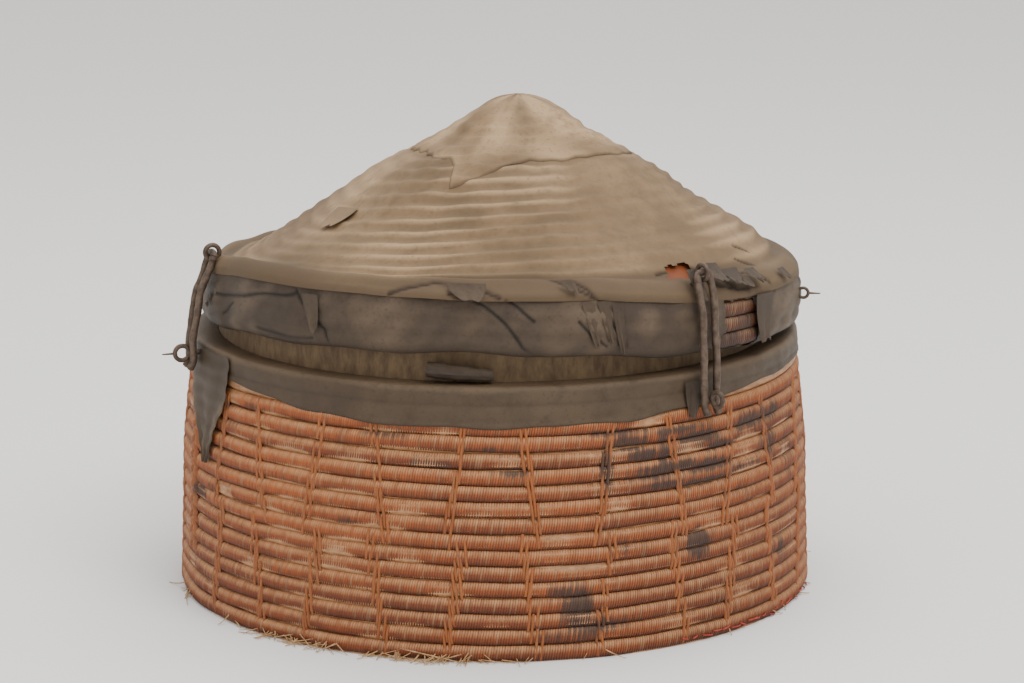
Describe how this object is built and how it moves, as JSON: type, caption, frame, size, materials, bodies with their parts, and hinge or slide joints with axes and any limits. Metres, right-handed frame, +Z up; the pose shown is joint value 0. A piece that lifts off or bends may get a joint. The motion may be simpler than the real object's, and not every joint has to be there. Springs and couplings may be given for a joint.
{
  "type": "lidded coiled basket",
  "caption": "Round coiled storage basket with a cloth-covered conical lid that lifts off and iron hasps that swing on eye pins.",
  "frame": {"origin": "centre of the floor's worn flat underside", "axes": "+Z up through the lid's apex, the front with the raised lid edge faces -Y, +X to the right seen from the front"},
  "size_m": [0.6089, 0.6201, 0.4659],
  "materials": {
    "coil": "orange-brown split cane wrapped round a straw core",
    "splint": "split cane lashings, darker",
    "collar": "golden-brown upright fibre",
    "band_leather": "dark grey-brown worn leather",
    "lid_cloth": "khaki-brown waxed cloth, rubbed pale on the ribs",
    "scrap_leather": "grey-blue dried leather",
    "iron": "forged, brown with age",
    "hasp_iron": "forged, brown with age",
    "red_thread": "red sewing thread",
    "straw": "dry straw"
  },
  "bodies": {
    "basket": {"floor_coil": "coil", "foot_coil": "coil", "wall_coil": "coil", "rim_coil": "coil", "wall_lashings": "splint", "neck_collar": "collar", "rim_band": "band_leather", "rim_tab": "band_leather", "gap_scrap": "scrap_leather", "body_eye_left": "iron", "body_eye_right": "iron", "body_eye_rear": "iron", "body_eye_patch": "scrap_leather", "foot_thread": "red_thread", "foot_straws": "straw"},
    "lid": {"lid_side_coil": "coil", "lid_cone_coil": "coil", "lid_side_cover": "lid_cloth", "lid_cone_cover": "lid_cloth", "apex_cap": "lid_cloth", "lid_eye_left": "iron", "lid_eye_right": "iron", "lid_eye_rear": "iron", "lid_side_eye": "iron", "lid_eye_patch": "scrap_leather"},
    "hasp_left": {"hasp_left": "hasp_iron"},
    "hasp_right": {"hasp_right": "hasp_iron"},
    "hasp_rear": {"hasp_rear": "hasp_iron"}
  },
  "joints": [
    {"name": "lid_lift", "type": "slide", "parent": "basket", "child": "lid", "axis": [0, 0, 1], "range_m": [0, 0.2]},
    {"name": "hasp_left_swing", "type": "hinge", "parent": "lid", "child": "hasp_left", "pos_m": [-0.25876, -0.09418, 0.32847], "axis": [-0.342, 0.9397, 0], "range_deg": [0, 150]},
    {"name": "hasp_right_swing", "type": "hinge", "parent": "lid", "child": "hasp_right", "pos_m": [0.18464, -0.21695, 0.3334], "axis": [-0.7615, -0.6481, 0], "range_deg": [0, 150]},
    {"name": "hasp_rear_swing", "type": "hinge", "parent": "lid", "child": "hasp_rear", "pos_m": [0.07313, 0.27292, 0.31308], "axis": [0.9659, -0.2588, 0], "range_deg": [0, 150]}
  ]
}
